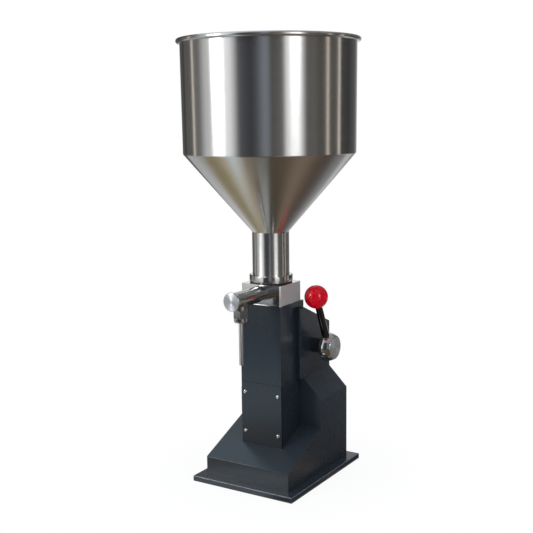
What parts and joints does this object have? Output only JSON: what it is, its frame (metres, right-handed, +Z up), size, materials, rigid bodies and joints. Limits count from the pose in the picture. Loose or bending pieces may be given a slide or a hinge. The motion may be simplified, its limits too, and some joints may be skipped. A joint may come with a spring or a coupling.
{
  "type": "manual paste filling machine",
  "caption": "Hand-worked piston filler with a stainless hopper on a square valve block, a painted stand, a front discharge tube with a thin nozzle, and a right-hand lever with a red ball knob.",
  "frame": {"origin": "centre of the base plate's underside, on the bench", "axes": "+Z up, -Y to the front where the nozzle is, +X to the right seen from the front, on the lever's side"},
  "size_m": [0.318, 0.3178, 0.78],
  "materials": {
    "dark_paint": "dark slate semi-gloss coat",
    "black_steel": "blackened steel, satin",
    "screw_steel": "stainless fasteners",
    "machined_steel": "machined steel, lightly oiled",
    "brushed_stainless": "bright stainless sheet, fine circular grain",
    "polished_stainless": "polished stainless steel",
    "chrome": "mirror chrome",
    "spring_steel": "spring wire",
    "bronze": "sintered bronze",
    "seal_rubber": "black food-grade rubber",
    "seat_plastic": "white valve seat plastic",
    "red_plastic": "glossy crimson"
  },
  "bodies": {
    "stand": {"base_plate": "dark_paint", "base_housing": "dark_paint", "column_housing": "dark_paint", "front_cover": "dark_paint", "hood": "dark_paint", "rear_cover": "dark_paint", "guide_bracket": "dark_paint", "shaft_boss_right": "black_steel", "shaft_boss_left": "black_steel", "base_screws": "screw_steel", "front_cover_screws": "screw_steel", "rear_cover_screws": "screw_steel", "pump_bolts": "screw_steel", "top_plate": "machined_steel", "stop_tube": "machined_steel", "hopper": "brushed_stainless", "pump_cylinder": "brushed_stainless", "valve_block": "polished_stainless", "hopper_collar": "polished_stainless", "discharge_tube": "polished_stainless", "tube_end_cap": "polished_stainless", "nozzle_tube": "polished_stainless", "nozzle_nut": "polished_stainless", "inlet_seat": "polished_stainless", "outlet_retainer": "polished_stainless", "return_spring": "spring_steel", "inlet_spring": "spring_steel", "outlet_spring": "spring_steel", "shaft_bush_right": "bronze", "shaft_bush_left": "bronze", "guide_bush": "bronze", "pump_gasket": "seal_rubber", "collar_gasket": "seal_rubber", "end_cap_seal": "seal_rubber", "nozzle_gasket": "seal_rubber", "outlet_seat": "seat_plastic"},
    "lever": {"drive_shaft": "machined_steel", "gear_key": "machined_steel", "sector_gear": "machined_steel", "shaft_collar": "machined_steel", "lever_hub": "chrome", "hub_set_screw": "black_steel", "lever_rod": "chrome", "ball_knob": "red_plastic"},
    "pump_piston": {"piston": "polished_stainless", "piston_seals": "seal_rubber", "piston_rod": "chrome", "crosshead": "machined_steel", "crosshead_pin": "machined_steel", "rack": "machined_steel", "rack_screws": "screw_steel", "stop_nuts": "screw_steel"},
    "inlet_valve": {"inlet_poppet": "polished_stainless", "inlet_clip": "polished_stainless"},
    "outlet_valve": {"outlet_ball": "polished_stainless"}
  },
  "joints": [
    {"name": "lever_pivot", "type": "hinge", "parent": "stand", "child": "lever", "pos_m": [0, 0.054, 0.231], "axis": [1, 0, 0], "range_deg": [0, 75]},
    {"name": "piston_slide", "type": "slide", "parent": "stand", "child": "pump_piston", "axis": [0, 0, 1], "range_m": [-0.0393, 0], "stiffness_N_per_m": 1430, "springref_m": 0.021, "deforming": ["return_spring"]},
    {"name": "inlet_valve_slide", "type": "slide", "parent": "stand", "child": "inlet_valve", "axis": [0, 0, -1], "range_m": [0, 0.005], "stiffness_N_per_m": 290, "springref_m": -0.005, "deforming": ["inlet_spring"]},
    {"name": "outlet_valve_slide", "type": "slide", "parent": "stand", "child": "outlet_valve", "axis": [0, -1, 0], "range_m": [0, 0.006], "stiffness_N_per_m": 290, "springref_m": -0.004, "deforming": ["outlet_spring"]}
  ],
  "couplings": [
    {"joint": "piston_slide", "follows": "lever_pivot", "m_per_rad": -0.03}
  ]
}
